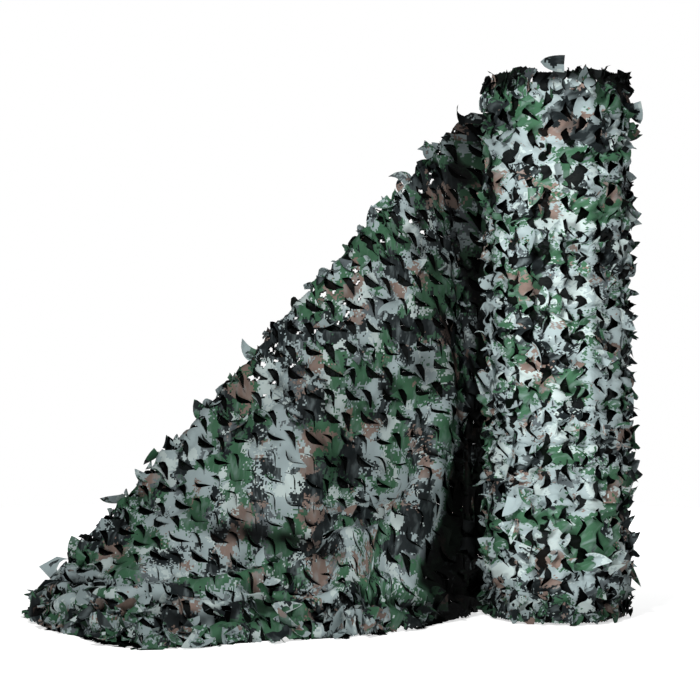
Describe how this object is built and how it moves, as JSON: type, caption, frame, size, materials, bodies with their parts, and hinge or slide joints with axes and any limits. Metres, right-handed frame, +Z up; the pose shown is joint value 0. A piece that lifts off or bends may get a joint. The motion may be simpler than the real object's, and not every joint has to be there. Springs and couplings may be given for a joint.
{
  "type": "camouflage net",
  "caption": "Bulk roll of die-cut camouflage net standing on end, its loose end drawn off to the side, slanting to the floor and heaped in front.",
  "frame": {"origin": "middle of the roll's flat foot, on the surface it stands on", "axes": "+Z up along the roll's axis, -X towards the tip of the loose end, -Y towards the front, where the loose end trails on the floor"},
  "size_m": [1.6988, 0.9128, 1.493],
  "materials": {
    "wound_net": "matt printed cloth",
    "drawn_net": "matt printed cloth"
  },
  "bodies": {
    "root": {"net_roll": "wound_net", "loose_end": "drawn_net"}
  },
  "joints": []
}
